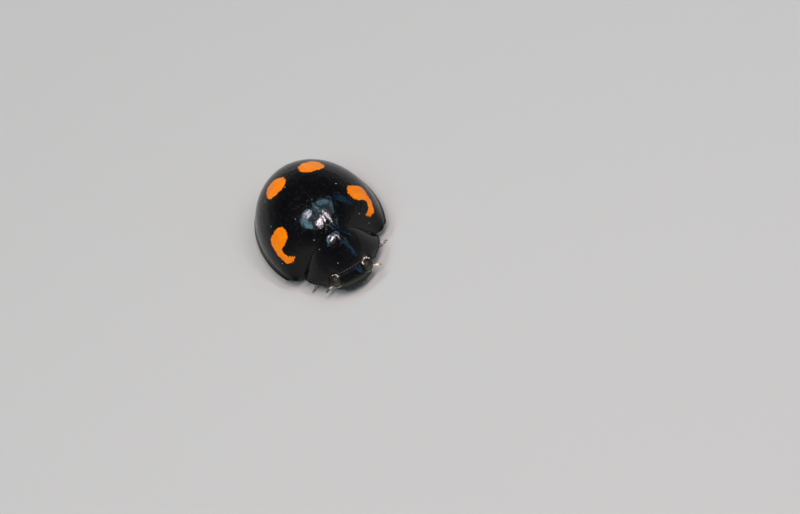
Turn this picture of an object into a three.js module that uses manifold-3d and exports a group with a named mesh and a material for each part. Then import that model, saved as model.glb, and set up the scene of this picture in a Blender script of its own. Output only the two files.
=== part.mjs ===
// A pine ladybird, life size, standing at rest: a round black dome with four orange spots.
// Millimetres, +Z up, head towards -Y, the beetle's left side towards +X.
// The origin is on the ground under the middle of the bounding box.
import * as THREE from "three";
import { mergeVertices } from "three/addons/utils/BufferGeometryUtils.js";
import Module from "manifold-3d";

const wasm = await Module();
wasm.setup();

// ---- Driving dimensions ----
const SEAM = 0.02; // width of the thin cuts between neighbouring plates
const DOME = {
  halfWidth: 1.8,
  rear: 2.22, // from the widest point back to the wing cases' tip
  front: 2.08, // from the widest point forward, carried on through pronotum and head
  height: 1.79, // from the rim to the crown
  centreY: 0.06,
  rimZ: 0.44,
  flare: 0.05, // the narrow flange that runs round the rim
  flareTurn: 0.1, // the share of the way from rim to seam that the flange takes
};
const WING_CASE = {
  wall: 0.46,
  baseY: -1.06, // front margin
  marginTop: 1.38, // height of the front margin on the midline, above its lip
  marginLip: 0.03, // and above the rim at the shoulder's outer corner
  shoulderX: 1.2, // where the front margin has come down to that lip
  soften: 0.02, // how softly it does so
  shoulderReach: 0.36, // how far behind the margin the dome dips to meet it
  leastHeight: 0.25, // lowest height of dome that the dip is worked out from
  corner: { run: 0.05, turn: 0.25 }, // share of the length and of the turn rounded off
};
const PRONOTUM = {
  wall: 0.42,
  hindHalfWidth: 1.2,
  frontHalfWidth: 0.75,
  taper: 2.6, // power by which the sides draw in towards the front
  sideBulge: 0.02,
  frontY: -1.95, // front margin on the midline
  frontCornerY: -1.78,
  frontEdgeZ: 0.58,
  frontTopZ: 1.08,
  fall: 1.8, // power by which the arch comes down towards the front
  arch: 0.85, // power of the cosine that rounds the front margin
  corner: { run: 0.12, turn: 0.25 },
};
const SCUTELLUM = { halfWidth: 0.21, tipHalfWidth: 0.03, length: 0.24, depth: 0.5 };
const HEAD = {
  turn: THREE.MathUtils.degToRad(-4), // a little towards the beetle's right
  pivotY: -1.3,
  tilt: THREE.MathUtils.degToRad(-41), // the face leans back
  halfWidth: 0.65,
  centre: [0, -1.84, 0.58],
  front: 0.4, // out of the face
  rear: 0.3,
  up: 0.6, // along the face, towards the crown
  down: 0.36,
};
const EYE = { centre: [0.49, -1.875, 0.7], radii: [0.195, 0.215, 0.21] };
const MOUTH = { centre: [0, -2.0, 0.4], radii: [0.28, 0.24, 0.22] };
const ANTENNA = { root: [0.38, -1.98, 0.58], tip: [0.88, -1.98, 0.56], radius: 0.22 };
const PALP = { root: [0.2, -2.0, 0.36], tip: [0.46, -2.14, 0.3], radius: 0.2 };
const UNDERSIDE = {
  z: 0.42,
  sideTurn: 0.93, // how far down the sides the trunk fills the wing cases
  tipRun: 0.95, // and how far towards their tip
  waistY: 0.3, // cut between the hind thorax and the abdomen
};
const LIMB = { femur: 0.25, tibia: 0.225, tarsus: 0.22 };

// Each leg's hip, knee, ankle and toe on the beetle's left side, as [x, y, z].
const STANCE = {
  front: {
    hip: [0.26, -1.24, 0.4],
    knee: [0.82, -1.62, 0.38],
    ankle: [1.1, -1.22, 0.24],
    toe: [1.45, -1.1, 0.17],
  },
  middle: {
    hip: [0.36, -0.42, 0.4],
    knee: [1.12, -0.64, 0.38],
    ankle: [1.42, -0.16, 0.24],
    toe: [1.66, 0.24, 0.17],
  },
  hind: {
    hip: [0.38, 0.26, 0.4],
    knee: [1.08, 0.66, 0.38],
    ankle: [1.1, 1.2, 0.24],
    toe: [1.22, 1.62, 0.17],
  },
};
// The right fore leg reaches a little further forward and less far out than the left.
const RIGHT_FORE = { ankle: [0.92, -1.34, 0.24], toe: [1.2, -1.42, 0.17] };

const LOOKS = {
  shell: look(0x0b0a0b, 0.18),
  underside: look(0x15100e, 0.4),
  leg: look(0x17110e, 0.35),
  eye: look(0x241f1e, 0.3),
  feeler: look(0x6b4526, 0.45),
};
const SIDES = { left: 1, right: -1 };

function look(color, roughness) {
  return new THREE.MeshStandardMaterial({ color, roughness, metalness: 0 });
}

// ---- Turning geometry into solids, and back ----
const mix = (a, b, t) => a + (b - a) * t;

// Closed solid of a geometry; triangles that a warp has collapsed onto an edge are dropped.
function solidOf(geometry) {
  const bare = geometry.index ? geometry.toNonIndexed() : geometry.clone();
  bare.deleteAttribute("normal");
  bare.deleteAttribute("uv");
  const merged = mergeVertices(bare, 1e-4);
  const vertProperties = merged.attributes.position.array;
  const corners = merged.index.array;
  const build = (flip) => {
    const kept = [];
    for (let i = 0; i < corners.length; i += 3) {
      const [a, b, c] = corners.slice(i, i + 3);
      if (a !== b && b !== c && c !== a) kept.push(a, flip ? c : b, flip ? b : c);
    }
    const triVerts = new Uint32Array(kept);
    return new wasm.Manifold(new wasm.Mesh({ numProp: 3, vertProperties, triVerts }));
  };
  const made = build(false);
  return made.volume() > 0 ? made : build(true);
}

function geometryOf(solid) {
  const { numProp, numVert, triVerts, vertProperties } = solid.getMesh();
  const position = new Float32Array(numVert * 3);
  for (let i = 0; i < numVert; i++) {
    position.set(vertProperties.subarray(i * numProp, i * numProp + 3), i * 3);
  }
  const geometry = new THREE.BufferGeometry();
  geometry.setAttribute("position", new THREE.BufferAttribute(position, 3));
  geometry.setIndex(new THREE.BufferAttribute(triVerts, 1));
  geometry.computeVertexNormals();
  return geometry;
}

// Moves each vertex of a geometry to where place(x, y, z) says.
function warped(geometry, place) {
  const position = geometry.attributes.position;
  for (let i = 0; i < position.count; i++) {
    position.setXYZ(i, ...place(position.getX(i), position.getY(i), position.getZ(i)));
  }
  return solidOf(geometry);
}

// A block to warp into a plate: x from -1 to 1 or 0 to 1, y and z from 0 to 1.
function plateBlock(across, along, bothSides) {
  const width = bothSides ? 2 : 1;
  const middle = bothSides ? 0 : 0.5;
  return new THREE.BoxGeometry(width, 1, 1, across, along, 1).translate(middle, 0.5, 0.5);
}

function ellipsoid(centre, reach, grow, around, upDown, tilt = 0) {
  const ball = new THREE.SphereGeometry(1, around, upDown).rotateX(Math.PI / 2);
  const axis = new THREE.Vector3(1, 0, 0);
  return warped(ball, (...unit) =>
    new THREE.Vector3(...unit.map((u, i) => u * (reach(i, u) + grow)))
      .applyAxisAngle(axis, tilt)
      .add(new THREE.Vector3(...centre))
      .toArray(),
  );
}

function block(low, high) {
  const size = high.map((v, i) => v - low[i]);
  const middle = high.map((v, i) => (v + low[i]) / 2);
  return solidOf(new THREE.BoxGeometry(...size).translate(...middle));
}

// What is left of a solid after the cutters, without any crumb that a cut broke off.
function cutFrom(solid, ...cutters) {
  const left = cutters.flat().reduce((kept, cutter) => kept.subtract(cutter), solid);
  return left.decompose().sort((a, b) => b.volume() - a.volume())[0];
}

// ---- The domed surface ----
// Height of the plain dome over (x, y), before it dips to the front margin.
function domeZ(x, y) {
  const along = (y - DOME.centreY) / (y > DOME.centreY ? DOME.rear : DOME.front);
  const left = 1 - (x / DOME.halfWidth) ** 2 - along ** 2;
  return DOME.rimZ + DOME.height * Math.sqrt(Math.max(0, left));
}

// A value where it is positive, fading smoothly to nothing where it isn't.
function softened(value) {
  return (value + Math.sqrt(value * value + WING_CASE.soften)) / 2;
}

// Height above the rim of the wing cases' front margin, given how near it is to the midline.
function marginHeight(nearness) {
  return WING_CASE.marginLip + WING_CASE.marginTop * softened(nearness);
}

// Sine of the angle from the dome's long axis down to the front margin.
const BASE_SINE = Math.sqrt(1 - ((WING_CASE.baseY - DOME.centreY) / DOME.front) ** 2);

// The turn, from seam to rim, at which the front margin passes over x.
function turnOver(x) {
  return (Math.asin(x / (DOME.halfWidth * BASE_SINE)) * 2) / Math.PI;
}

// The share of the dome's height left at y on the line of this turn, as the dome dips to the front
// margin; near the rim, where the dome is lower than leastHeight, the share stays as small.
function shoulderShare(turn, y) {
  const angle = (turn * Math.PI) / 2;
  const x = DOME.halfWidth * BASE_SINE * Math.sin(angle);
  const full = Math.max(WING_CASE.leastHeight, DOME.height * BASE_SINE * Math.cos(angle));
  const left = marginHeight(1 - (x / WING_CASE.shoulderX) ** 2) / full;
  const behind = Math.max(0, y - WING_CASE.baseY);
  return 1 - (1 - left) * Math.exp(-behind / WING_CASE.shoulderReach);
}

// Run moved on where a plate's corner is rounded off.
function pastCorner(turn, run, corner) {
  const near = Math.max(0, 1 - (1 - Math.abs(turn)) / corner.turn);
  return run + corner.run * near ** 2 * (1 - run);
}

// A point of the dome behind the front margin. Turn runs from 0 at the seam to 1 at the rim (or -1
// at the right rim), run from 0 at the front margin to 1 at the tip; inset is the depth inside.
function domePoint(turn, gridRun, inset) {
  const run = pastCorner(turn, gridRun, WING_CASE.corner);
  const baseAngle = Math.acos((WING_CASE.baseY - DOME.centreY) / DOME.front);
  const polar = baseAngle * (1 - run);
  const angle = (turn * Math.PI) / 2;
  const flare = DOME.flare * Math.max(0, 1 - (1 - Math.abs(turn)) / DOME.flareTurn);
  const x = (DOME.halfWidth + flare - inset) * Math.sin(polar) * Math.sin(angle);
  const length = (Math.cos(polar) > 0 ? DOME.rear + flare : DOME.front) - inset * run;
  const y = DOME.centreY + length * Math.cos(polar);
  const rise = (DOME.height - inset) * Math.sin(polar) * Math.cos(angle);
  return [x, y, DOME.rimZ + rise * shoulderShare(turn, y)];
}

// A point of the pronotum's arch: turn runs -1 to 1 from side to side, run 0 to 1 from the hind
// to the front margin, and inset is the depth below the outer surface.
function archPoint(turn, gridRun, inset) {
  const run = pastCorner(turn, gridRun, PRONOTUM.corner);
  const angle = (turn * Math.PI) / 2;
  const across = Math.max(0, Math.cos(angle));
  const halfWidth =
    mix(PRONOTUM.hindHalfWidth, PRONOTUM.frontHalfWidth, run ** PRONOTUM.taper) +
    PRONOTUM.sideBulge * Math.sin(Math.PI * run) -
    inset;
  const frontY = mix(PRONOTUM.frontY, PRONOTUM.frontCornerY, Math.sin(angle) ** 2);
  const hindZ = DOME.rimZ + marginHeight(across ** 2);
  const frontZ = mix(PRONOTUM.frontEdgeZ, PRONOTUM.frontTopZ, across ** PRONOTUM.arch);
  const x = halfWidth * Math.sin(angle);
  const y = mix(WING_CASE.baseY - SEAM, frontY, run);
  return [x, y, mix(hindZ, frontZ, run ** PRONOTUM.fall) - inset * across];
}

// ---- Plates of the body ----
function wingCase(side) {
  return warped(plateBlock(10, 18, false), (turn, run, t) =>
    domePoint(side * turn, run, (1 - t) * WING_CASE.wall),
  );
}

// The body under the wing cases, filled down to the flat underside.
function trunk() {
  return warped(plateBlock(14, 11, true), (turn, run, t) => {
    const inset = WING_CASE.wall + SEAM;
    const [x, y, z] = domePoint(turn * UNDERSIDE.sideTurn, run * UNDERSIDE.tipRun, inset);
    return [x, y, mix(UNDERSIDE.z, z, t)];
  });
}

function pronotumPlate() {
  return warped(plateBlock(16, 6, true), (turn, run, t) =>
    archPoint(turn, run, (1 - t) * PRONOTUM.wall),
  );
}

// Fills the pronotum's arch down to the flat underside of the fore thorax.
function foreThorax() {
  return warped(plateBlock(10, 3, true), (turn, run, t) => {
    const [x, y, z] = archPoint(turn * 0.92, run * 0.8, PRONOTUM.wall + SEAM);
    return [x, y, mix(UNDERSIDE.z, z, t)];
  });
}

// The little triangle between the wing cases' bases; grow makes the slot it sits in.
function scutellumWedge(grow) {
  return warped(plateBlock(4, 4, true), (turn, run, t) => {
    const width = mix(SCUTELLUM.halfWidth, SCUTELLUM.tipHalfWidth, run) + grow;
    const x = turn * width;
    const y = mix(WING_CASE.baseY - grow, WING_CASE.baseY + SCUTELLUM.length + grow, run);
    const top = mix(DOME.rimZ, domeZ(x, y), shoulderShare(turnOver(x), y));
    return [x, y, mix(top - SCUTELLUM.depth - grow, top + 10 * grow, t)];
  });
}

// ---- The head ----
const headed = (point, side) =>
  new THREE.Vector3(side * point[0], point[1] - HEAD.pivotY, point[2])
    .applyAxisAngle(new THREE.Vector3(0, 0, 1), HEAD.turn)
    .add(new THREE.Vector3(0, HEAD.pivotY, 0))
    .toArray();

function headShape(grow) {
  const reach = (axis, u) => {
    if (axis === 0) return HEAD.halfWidth;
    if (axis === 1) return u < 0 ? HEAD.front : HEAD.rear;
    return u > 0 ? HEAD.up : HEAD.down;
  };
  return ellipsoid(headed(HEAD.centre, 1), reach, grow, 20, 11, HEAD.tilt);
}

function rounded(part, side, grow) {
  return ellipsoid(headed(part.centre, side), (axis) => part.radii[axis], grow, 12, 7);
}

function feeler(part, side, grow = 0) {
  return limb(headed(part.root, side), headed(part.tip, side), part.radius, part.radius, grow);
}

// ---- Limbs ----
// A blunt spindle between two points, its radius going from rFrom to rTo.
function limb(from, to, rFrom, rTo, grow = 0) {
  const start = new THREE.Vector3(...from);
  const along = new THREE.Vector3(...to).sub(start);
  const length = along.length() + 2 * grow;
  const steps = 7;
  const profile = [];
  for (let i = 0; i <= steps; i++) {
    const t = (1 - Math.cos((Math.PI * i) / steps)) / 2;
    const blunt = Math.max(0, 1 - Math.abs(2 * t - 1) ** 3.4) ** (1 / 3.4);
    profile.push(new THREE.Vector2((mix(rFrom, rTo, t) + grow) * blunt, t * length - grow));
  }
  profile[0].x = 0;
  profile[steps].x = 0;
  const turn = new THREE.Quaternion().setFromUnitVectors(
    new THREE.Vector3(0, 1, 0),
    along.normalize(),
  );
  const geometry = new THREE.LatheGeometry(profile, 8);
  return solidOf(geometry.applyQuaternion(turn).translate(...from));
}

// A leg's segments, each grown by grow all round.
function legSegments(joints, side, grow) {
  const at = ([x, y, z]) => [side * x, y, z];
  const [hip, knee, ankle, toe] = ["hip", "knee", "ankle", "toe"].map((name) => at(joints[name]));
  return {
    femur: limb(hip, knee, LIMB.femur, LIMB.femur * 0.92, grow),
    tibia: limb(knee, ankle, LIMB.tibia, LIMB.tibia * 0.95, grow),
    tarsus: limb(ankle, toe, LIMB.tarsus * 0.9, LIMB.tarsus, grow),
  };
}

// ---- Assembly ----
const model = new THREE.Group();

function add(name, solid, lookName) {
  const mesh = new THREE.Mesh(geometryOf(solid), LOOKS[lookName]);
  mesh.name = name;
  model.add(mesh);
}

// Adds the six legs, each segment cut back from the one before it and flat where it meets the
// ground, and returns the room they need in the body.
function addLegs() {
  const ground = block([-4, -4, -2], [4, 4, 0]);
  const room = [];
  for (const [pair, leftJoints] of Object.entries(STANCE)) {
    for (const [sideName, side] of Object.entries(SIDES)) {
      const rightFore = pair === "front" && side < 0;
      const joints = rightFore ? { ...leftJoints, ...RIGHT_FORE } : leftJoints;
      const own = legSegments(joints, side, 0);
      const clear = legSegments(joints, side, SEAM);
      add(`${pair}_femur_${sideName}`, own.femur, "leg");
      add(`${pair}_tibia_${sideName}`, cutFrom(own.tibia, clear.femur, ground), "leg");
      add(`${pair}_tarsus_${sideName}`, cutFrom(own.tarsus, clear.tibia, clear.femur, ground), "leg");
      room.push(...Object.values(clear));
    }
  }
  return room;
}

function addHead(legRoom) {
  const eyeRoom = [];
  const feelerRoom = [];
  for (const [sideName, side] of Object.entries(SIDES)) {
    const sockets = [rounded(EYE, side, SEAM), headShape(SEAM), ...legRoom];
    add(`eye_${sideName}`, rounded(EYE, side, 0), "eye");
    const antenna = cutFrom(feeler(ANTENNA, side), sockets);
    add(`antenna_${sideName}`, antenna, "feeler");
    const palp = cutFrom(feeler(PALP, side), sockets, feeler(ANTENNA, side, SEAM));
    add(`palp_${sideName}`, palp, "feeler");
    eyeRoom.push(sockets[0]);
    feelerRoom.push(feeler(ANTENNA, side, SEAM), feeler(PALP, side, SEAM));
  }
  const mouth = cutFrom(rounded(MOUTH, 1, 0), headShape(SEAM), feelerRoom, legRoom);
  add("mouthparts", mouth, "underside");
  add("head", cutFrom(headShape(0), eyeRoom, legRoom), "shell");
  return [headShape(SEAM), ...eyeRoom, ...feelerRoom, rounded(MOUTH, 1, SEAM)];
}

function addBody(legRoom, headRoom) {
  const far = 4;
  add("pronotum", cutFrom(pronotumPlate(), headRoom, legRoom), "shell");
  add("prosternum", cutFrom(foreThorax(), headRoom, legRoom), "underside");
  add("scutellum", scutellumWedge(0), "shell");
  const slot = scutellumWedge(SEAM);
  for (const [sideName, side] of Object.entries(SIDES)) {
    const midline = block([-SEAM / 2, -far, -1], [SEAM / 2, far, far]);
    add(`elytron_${sideName}`, cutFrom(wingCase(side), midline, slot, legRoom), "shell");
  }
  const body = cutFrom(trunk(), slot, legRoom);
  const hindHalf = block([-far, UNDERSIDE.waistY, -1], [far, far, far]);
  const foreHalf = block([-far, -far, -1], [far, UNDERSIDE.waistY + SEAM, far]);
  add("thorax", cutFrom(body, hindHalf), "underside");
  add("abdomen", cutFrom(body, foreHalf), "underside");
}

const legRoom = addLegs();
addBody(legRoom, addHead(legRoom));

export default model;
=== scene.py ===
"""A pine ladybird at rest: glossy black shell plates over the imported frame's solids.

Lengths are in millimetres until a mesh is made. +Z is up, the head points to -Y, and the beetle's
left side is +X. On a shell plate, turn goes from the middle line (0) to the side rim (1, or -1 on the
right), and run from the line where wing cases and pronotum meet (0) to the plate's other end (1).
"""
import math

import bmesh
import bpy
import numpy as np
from mathutils import Matrix, Vector


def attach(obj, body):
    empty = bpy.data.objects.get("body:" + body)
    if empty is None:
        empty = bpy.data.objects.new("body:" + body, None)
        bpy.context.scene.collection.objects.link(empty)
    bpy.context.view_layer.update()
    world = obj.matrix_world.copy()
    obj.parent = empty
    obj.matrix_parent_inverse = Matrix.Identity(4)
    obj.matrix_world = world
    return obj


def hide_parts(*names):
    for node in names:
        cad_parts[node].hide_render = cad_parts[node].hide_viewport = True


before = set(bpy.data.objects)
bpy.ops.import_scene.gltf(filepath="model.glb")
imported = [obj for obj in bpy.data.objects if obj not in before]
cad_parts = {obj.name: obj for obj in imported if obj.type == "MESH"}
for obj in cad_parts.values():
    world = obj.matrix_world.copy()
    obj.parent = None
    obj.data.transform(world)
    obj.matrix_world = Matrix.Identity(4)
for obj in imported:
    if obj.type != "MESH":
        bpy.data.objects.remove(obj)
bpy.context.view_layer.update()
MM = 0.001
BODY = "root"
SIDES = {"left": 1, "right": -1}
UP = np.array([0, 0, 1.0])
rng = np.random.default_rng(4)

# ---- Driving dimensions: outlines are the same as the solids'; bead, seam and notch are finer ----
DOME = dict(half_width=1.8, rear=2.22, front=2.08, height=1.79, centre_y=0.06, rim_z=0.44)
FLANGE = dict(width=0.05, share=0.1, hind_loss=0.35)
EDGE = dict(bead=0.016, bead_turn=0.985, bead_width=0.012, groove=0.012, groove_width=0.018)
BASE = dict(y=-1.06, top=1.38, lip=0.03, shoulder_x=1.2, soft=0.02, reach=0.36, least=0.25)
BASE_CORNER = dict(run=0.05, turn=0.25)
PRONOTUM = dict(hind=1.2, front=0.75, taper=2.6, bulge=0.02, y=-1.95, corner_y=-1.78)
PRONOTUM_HEIGHT = dict(front_top=1.08, front_edge=0.58, fall=1.8, arch=0.85)
PRONOTUM_CORNER = dict(run=0.12, turn=0.25)
EYE_NOTCH = dict(depth=0.125, x=0.56, width=0.12)
SCUTELLUM = dict(half_width=0.21, length=0.24)
SEAM = 0.004
SHELL_THICKNESS = 0.08
HEAD_TURN = math.radians(-4)
HEAD_PIVOT_Y = -1.3
FACE_TILT = math.radians(-41)
HEAD = dict(half_width=0.65, centre=(0, -1.84, 0.58), front=0.4, rear=0.3, up=0.6, down=0.36)
EYE = dict(centre=(0.49, -1.875, 0.7), radii=(0.195, 0.215, 0.21))
BELLY_Z = 0.42


# ---- Mesh helpers ----
def smooth_step(start, end, value):
    """Goes smoothly from 0 at start to 1 at end, whichever of the two is higher."""
    t = np.clip((value - start) / (end - start), 0, 1)
    return t * t * (3 - 2 * t)


def ridge(value, at, width):
    """A smooth hump, 1 at its place and almost nothing two widths away."""
    return np.exp(-(((value - at) / width) ** 2))


def between(start, end, share):
    """Points on the straight line from start to end, at these shares of the way."""
    return np.outer(1 - share, start) + np.outer(share, end)


def unit(vectors):
    """The vectors at length 1."""
    vectors = np.asarray(vectors, float)
    return vectors / np.maximum(np.linalg.norm(vectors, axis=-1, keepdims=True), 1e-12)


def grid_faces(rows, columns, start=0, closed=False):
    """Quads between neighbouring points of a grid; closed joins the last column to the first."""
    row, column = np.meshgrid(np.arange(rows - 1), np.arange(columns - (not closed)), indexing="ij")
    here = start + row * columns + column
    across = start + row * columns + (column + 1) % columns
    return np.stack([here, across, across + columns, here + columns], -1).reshape(-1, 4)


def make_piece(name, points, faces, material, nodes=(), sharp=40, marks=None):
    """A mesh from points in millimetres that rides on the body and stands for the named solids."""
    mesh = bpy.data.meshes.new(name)
    mesh.from_pydata((np.asarray(points) * MM).tolist(), [], [list(map(int, f)) for f in faces])
    for key, values in (marks or {}).items():
        mesh.attributes.new(key, "FLOAT", "POINT").data.foreach_set("value", np.asarray(values, "f"))
    mesh.validate()
    closed_body = bmesh.new()
    closed_body.from_mesh(mesh)
    bmesh.ops.recalc_face_normals(closed_body, faces=closed_body.faces)
    closed_body.to_mesh(mesh)
    closed_body.free()
    mesh.shade_smooth()
    mesh.set_sharp_from_angle(angle=math.radians(sharp))
    piece = bpy.data.objects.new(name, mesh)
    bpy.context.scene.collection.objects.link(piece)
    mesh.materials.append(material)
    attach(piece, BODY)
    if nodes:
        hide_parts(*nodes)
    return piece


def shell_between(outer, inner):
    """Points and faces of a closed plate between two grids of the same size."""
    rows, columns = outer.shape[:2]
    count = rows * columns
    points = np.concatenate([outer.reshape(-1, 3), inner.reshape(-1, 3)])
    faces = [grid_faces(rows, columns), grid_faces(rows, columns, count)[:, ::-1]]
    index = np.arange(count).reshape(rows, columns)
    ring = np.concatenate([index[0], index[1:, -1], index[-1, -2::-1], index[-2:0:-1, 0]])
    after = np.roll(ring, -1)
    faces.append(np.stack([ring, ring + count, after + count, after], -1))
    return points, np.concatenate(faces)


def tube_along(centres, wide, thick, across, around):
    """Closed lofted limb: round each centre, an ellipse of half sizes wide and thick."""
    centres = np.asarray(centres, float)
    along = unit(np.gradient(centres, axis=0))
    side = unit(across - (along @ across)[:, None] * along)
    up = np.cross(side, along)
    angle = np.linspace(0, 2 * np.pi, around, endpoint=False)
    ring = (
        centres[:, None]
        + np.cos(angle)[None, :, None] * side[:, None] * np.asarray(wide)[:, None, None]
        + np.sin(angle)[None, :, None] * up[:, None] * np.asarray(thick)[:, None, None]
    )
    rows = len(centres)
    points = np.concatenate([ring.reshape(-1, 3), centres[:1], centres[-1:]])
    faces = grid_faces(rows, around, closed=True).tolist()
    first = np.arange(around)
    last = first + (rows - 1) * around
    faces += [[rows * around, b, a] for a, b in zip(first, np.roll(first, -1))]
    faces += [[rows * around + 1, a, b] for a, b in zip(last, np.roll(last, -1))]
    return points, faces


def joined(parts):
    """Several (points, faces) pairs as one."""
    points, faces, start = [], [], 0
    for more_points, more_faces in parts:
        points.append(np.asarray(more_points))
        faces += [[int(i) + start for i in face] for face in more_faces]
        start += len(more_points)
    return np.concatenate(points), faces


def ball(centre, radii, around, upright, shape=None):
    """A closed ellipsoid whose unit directions shape(directions) may scale."""
    polar = np.linspace(0, np.pi, upright)[1:-1]
    angle = np.linspace(0, 2 * np.pi, around, endpoint=False)
    polar, angle = np.meshgrid(polar, angle, indexing="ij")
    grid = np.stack(
        [np.sin(polar) * np.cos(angle), np.sin(polar) * np.sin(angle), np.cos(polar)], -1
    )
    directions = np.concatenate([grid.reshape(-1, 3), [[0, 0, 1], [0, 0, -1]]])
    scale = np.ones(len(directions)) if shape is None else shape(directions)
    points = np.asarray(centre) + directions * np.asarray(radii) * scale[:, None]
    rows = upright - 2
    faces = grid_faces(rows, around, closed=True).tolist()
    ring = np.arange(around)
    top, bottom = rows * around, rows * around + 1
    faces += [[top, a, b] for a, b in zip(ring, np.roll(ring, -1))]
    last = ring + (rows - 1) * around
    faces += [[bottom, b, a] for a, b in zip(last, np.roll(last, -1))]
    return points, faces


# ---- The domed surface ----
def dome_z(x, y):
    """Height of the plain dome over a point of the ground."""
    along = (y - DOME["centre_y"]) / np.where(y > DOME["centre_y"], DOME["rear"], DOME["front"])
    left = np.maximum(0, 1 - (x / DOME["half_width"]) ** 2 - along**2)
    return DOME["rim_z"] + DOME["height"] * np.sqrt(left)


def softened(value):
    """The value where it is positive, fading smoothly to nothing where it isn't."""
    return (value + np.sqrt(value**2 + BASE["soft"])) / 2


def margin_height(x):
    """Height above the rim of the wing cases' front margin, which the pronotum's hind margin meets."""
    return BASE["lip"] + BASE["top"] * softened(1 - (x / BASE["shoulder_x"]) ** 2)


def base_section():
    """Half width and height, above the rim, of the plain dome over the front margin."""
    sine = math.sqrt(1 - ((BASE["y"] - DOME["centre_y"]) / DOME["front"]) ** 2)
    return DOME["half_width"] * sine, DOME["height"] * sine


def shoulder_share(turn, y):
    """The share of the dome's height left where it dips to the front margin."""
    half_width, height = base_section()
    angle = turn * np.pi / 2
    full = np.maximum(BASE["least"], height * np.cos(angle))
    left = margin_height(half_width * np.sin(angle)) / full
    return 1 - (1 - left) * np.exp(-np.maximum(0, y - BASE["y"]) / BASE["reach"])


def past_corner(turn, run, corner):
    """Run moved on where a plate's corner is rounded off."""
    near = np.maximum(0, 1 - (1 - np.abs(turn)) / corner["turn"])
    return run + corner["run"] * near**2 * (1 - run)


def dome_point(turn, run, inset=0.0, raised=0.0):
    """A point of the wing cases' dome, sunk by inset or lifted by raised."""
    run = past_corner(turn, run, BASE_CORNER)
    base_angle = math.acos((BASE["y"] - DOME["centre_y"]) / DOME["front"])
    polar = base_angle * (1 - run)
    angle = turn * np.pi / 2
    near_rim = np.maximum(0, 1 - (1 - np.abs(turn)) / FLANGE["share"])
    narrower = 1 - FLANGE["hind_loss"] * smooth_step(0.2, 1, np.cos(polar))
    flare = FLANGE["width"] * near_rim**1.5 * narrower
    x = (DOME["half_width"] + flare - inset + raised) * np.sin(polar) * np.sin(angle)
    length = np.where(np.cos(polar) > 0, DOME["rear"] + flare + raised, DOME["front"])
    y = DOME["centre_y"] + (length - inset * run) * np.cos(polar)
    rise = (DOME["height"] - inset + raised) * np.sin(polar) * np.cos(angle)
    return np.stack([x, y, DOME["rim_z"] + rise * shoulder_share(turn, y)], -1)


def arch_point(turn, run, inset=0.0, raised=0.0):
    """A point of the pronotum's arch, from its hind margin (run 0) to its front margin (run 1)."""
    run = past_corner(turn, run, PRONOTUM_CORNER)
    angle = turn * np.pi / 2
    across = np.cos(angle)
    half_width = PRONOTUM["hind"] + (PRONOTUM["front"] - PRONOTUM["hind"]) * run ** PRONOTUM["taper"]
    half_width = half_width + PRONOTUM["bulge"] * np.sin(np.pi * run) - inset + raised
    x = half_width * np.sin(angle)
    front_y = PRONOTUM["y"] + (PRONOTUM["corner_y"] - PRONOTUM["y"]) * np.sin(angle) ** 2
    y = BASE["y"] - SEAM + (front_y - BASE["y"] + SEAM) * run + eye_notch(x) * run**12
    hind_z = DOME["rim_z"] + BASE["lip"] + BASE["top"] * softened(across**2)
    height = PRONOTUM_HEIGHT
    front_z = height["front_edge"] + (height["front_top"] - height["front_edge"]) * across ** height["arch"]
    z = hind_z + (front_z - hind_z) * run ** height["fall"]
    return np.stack([x, y, z + (raised - inset) * across], -1)


def eye_notch(x):
    """How far the pronotum's front margin draws back over each eye."""
    return EYE_NOTCH["depth"] * ridge(np.abs(x), EYE_NOTCH["x"], EYE_NOTCH["width"])


# ---- Materials ----
def linear(hex_colour):
    """sRGB hex to linear RGBA."""
    channels = [int(hex_colour[i : i + 2], 16) / 255 for i in (1, 3, 5)]
    return [c / 12.92 if c <= 0.04045 else ((c + 0.055) / 1.055) ** 2.4 for c in channels] + [1]


def add_node(material, kind, settings=None, inputs=None):
    """Adds a node, sets its properties, and sets or links its inputs."""
    node = material.node_tree.nodes.new(kind)
    for key, value in (settings or {}).items():
        setattr(node, key, value)
    for key, value in (inputs or {}).items():
        if isinstance(value, bpy.types.NodeSocket):
            material.node_tree.links.new(value, node.inputs[key])
        else:
            node.inputs[key].default_value = value
    return node


def new_material(name, **values):
    """A material and its main shader, with the values that are the same all over it."""
    material = bpy.data.materials.new(name)
    material.use_nodes = True
    shader = material.node_tree.nodes["Principled BSDF"]
    for key, value in values.items():
        shader.inputs[key.replace("_", " ")].default_value = value
    return material, shader


def per_mm(spacing):
    """Texture scale, per metre, for features this many millimetres apart."""
    return 1 / (spacing * MM)


def link(material, output, socket):
    """Joins a node's output to a socket of another node."""
    material.node_tree.links.new(output, socket)


# Colours of the shell, its dust and painted glints, and its spots
BLACK = "#030304"
WORN_BLACK = "#060505"
DUST_AND_GLINT = "#A89CA2"
SPOT_ORANGE = "#C46A00"
SPOT_RUST = "#A24C00"
# Relief: how far apart it lies and how high or deep it is. Real pits are a few hundredths of a
# millimetre apart, and the grain between them is finer still. Both would be too fine to show, so on the
# shell the pits are drawn 0.05 to 0.07 apart and the grain at 0.03.
GRAIN = dict(spacing=0.03, height=0.001)
RIPPLE = dict(spacing=0.16, height=0.012)
SHELL_PITS = dict(depth=0.006, half_width=0.26)
SATIN_PITS = dict(depth=0.004, half_width=0.34)
# Pale specks, partly dust and partly painted glints of light in the pits, lie one to a cell of this size,
# in the share of cells that isn't bare. A speck is solid out to its core radius and gone at its edge, both
# in cells.
SPECKS = dict(spacing=0.13, bare_share=0.86, core=0.06, edge=0.11)
# The spots' edges wander by up to half this reach either way, over frays of this spacing.
FRAY = dict(spacing=0.05, reach=0.12, softness=0.007)


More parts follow.
